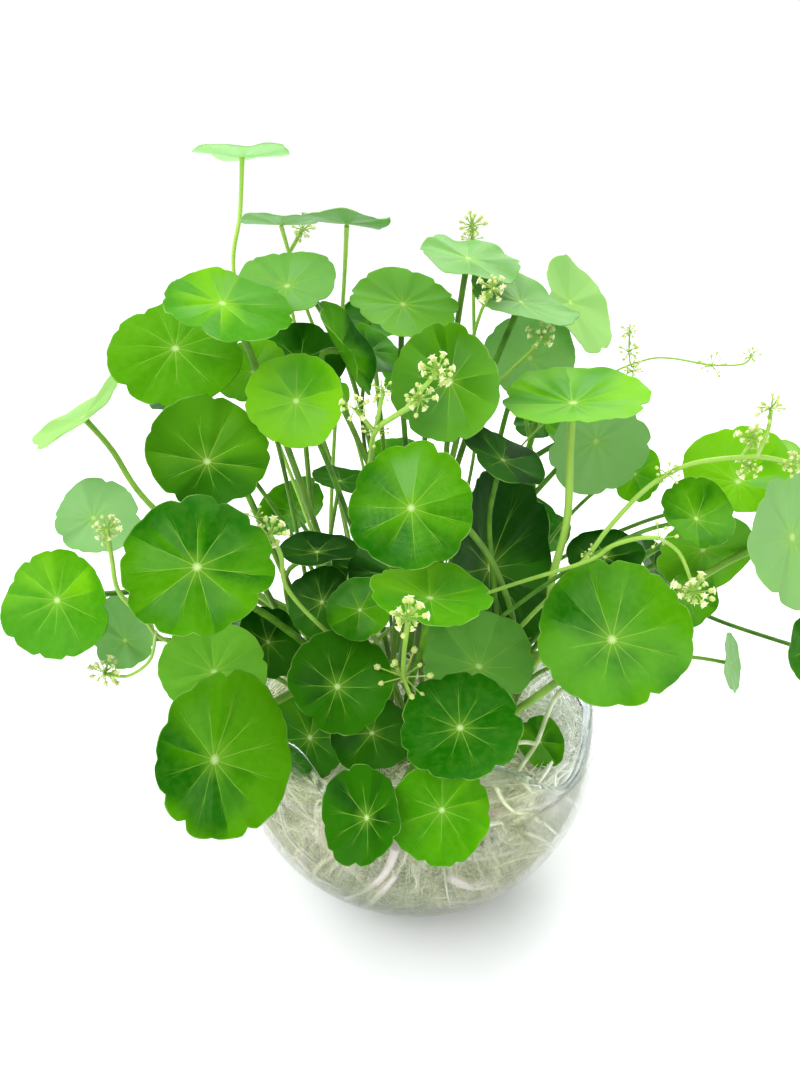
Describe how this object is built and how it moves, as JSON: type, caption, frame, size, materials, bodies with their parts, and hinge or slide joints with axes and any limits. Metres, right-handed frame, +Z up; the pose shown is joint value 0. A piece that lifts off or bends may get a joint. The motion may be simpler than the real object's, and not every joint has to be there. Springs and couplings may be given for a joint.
{
  "type": "water pennywort in bowl",
  "caption": "Round scalloped pennywort leaves on tall stalks, with small flower umbels, growing from a root tangle in a round water-filled glass bowl with a wavy lip.",
  "frame": {"origin": "middle of the bowl's flat foot, on the surface that the bowl stands on", "axes": "+Z up through the bowl's middle, -Y the front that the viewer faces, +X to the viewer's right"},
  "size_m": [0.3027, 0.2142, 0.2926],
  "materials": {
    "glass": "clear, fire-polished",
    "water": "clear water, stands in as glass",
    "roots": "matt fibrous",
    "leaf_mid": "satin waxy leaf",
    "leaf_dark": "satin waxy leaf",
    "leaf_bright": "satin waxy leaf",
    "leaf_grey": "satin waxy leaf with a grey sheen",
    "leaf_pale": "satin waxy leaf",
    "shoot": "satin waxy leaf",
    "flower": "matt petals"
  },
  "bodies": {
    "root": {"bowl": "glass", "water": "water", "root_mass": "roots", "leaf_01": "leaf_pale", "leaf_02": "leaf_grey", "leaf_03": "leaf_mid", "leaf_04": "leaf_grey", "leaf_05": "leaf_bright", "leaf_06": "leaf_mid", "leaf_07": "leaf_pale", "leaf_08": "leaf_mid", "leaf_09": "leaf_grey", "leaf_10": "leaf_grey", "leaf_11": "leaf_pale", "leaf_12": "leaf_mid", "leaf_14": "leaf_dark", "leaf_15": "leaf_grey", "leaf_16": "leaf_bright", "leaf_17": "leaf_grey", "leaf_19": "leaf_bright", "leaf_22": "leaf_dark", "leaf_23": "leaf_grey", "leaf_24": "leaf_bright", "leaf_25": "leaf_grey", "leaf_26": "leaf_mid", "leaf_27": "leaf_mid", "leaf_29": "leaf_mid", "leaf_30": "leaf_mid", "leaf_33": "leaf_dark", "leaf_35": "leaf_bright", "leaf_37": "leaf_dark", "leaf_38": "leaf_grey", "leaf_39": "leaf_mid", "leaf_40": "leaf_bright", "leaf_41": "leaf_dark", "leaf_43": "leaf_mid", "leaf_44": "leaf_mid", "leaf_45": "leaf_bright", "leaf_46": "leaf_mid", "leaf_47": "leaf_mid", "leaf_49": "leaf_grey", "leaf_55": "leaf_dark", "shoot_01": "shoot", "shoot_02": "shoot", "shoot_03": "shoot", "shoot_04": "shoot", "shoot_05": "shoot", "shoot_06": "shoot", "shoot_07": "shoot", "shoot_08": "shoot", "shoot_09": "shoot", "flower_stalk_01": "flower", "flower_stalk_02": "flower", "flower_stalk_03": "flower", "flower_stalk_04": "flower", "flower_stalk_05": "flower", "flower_stalk_06": "flower", "flower_stalk_07": "flower", "flower_stalk_08": "flower", "flower_stalk_09": "flower"}
  },
  "joints": []
}
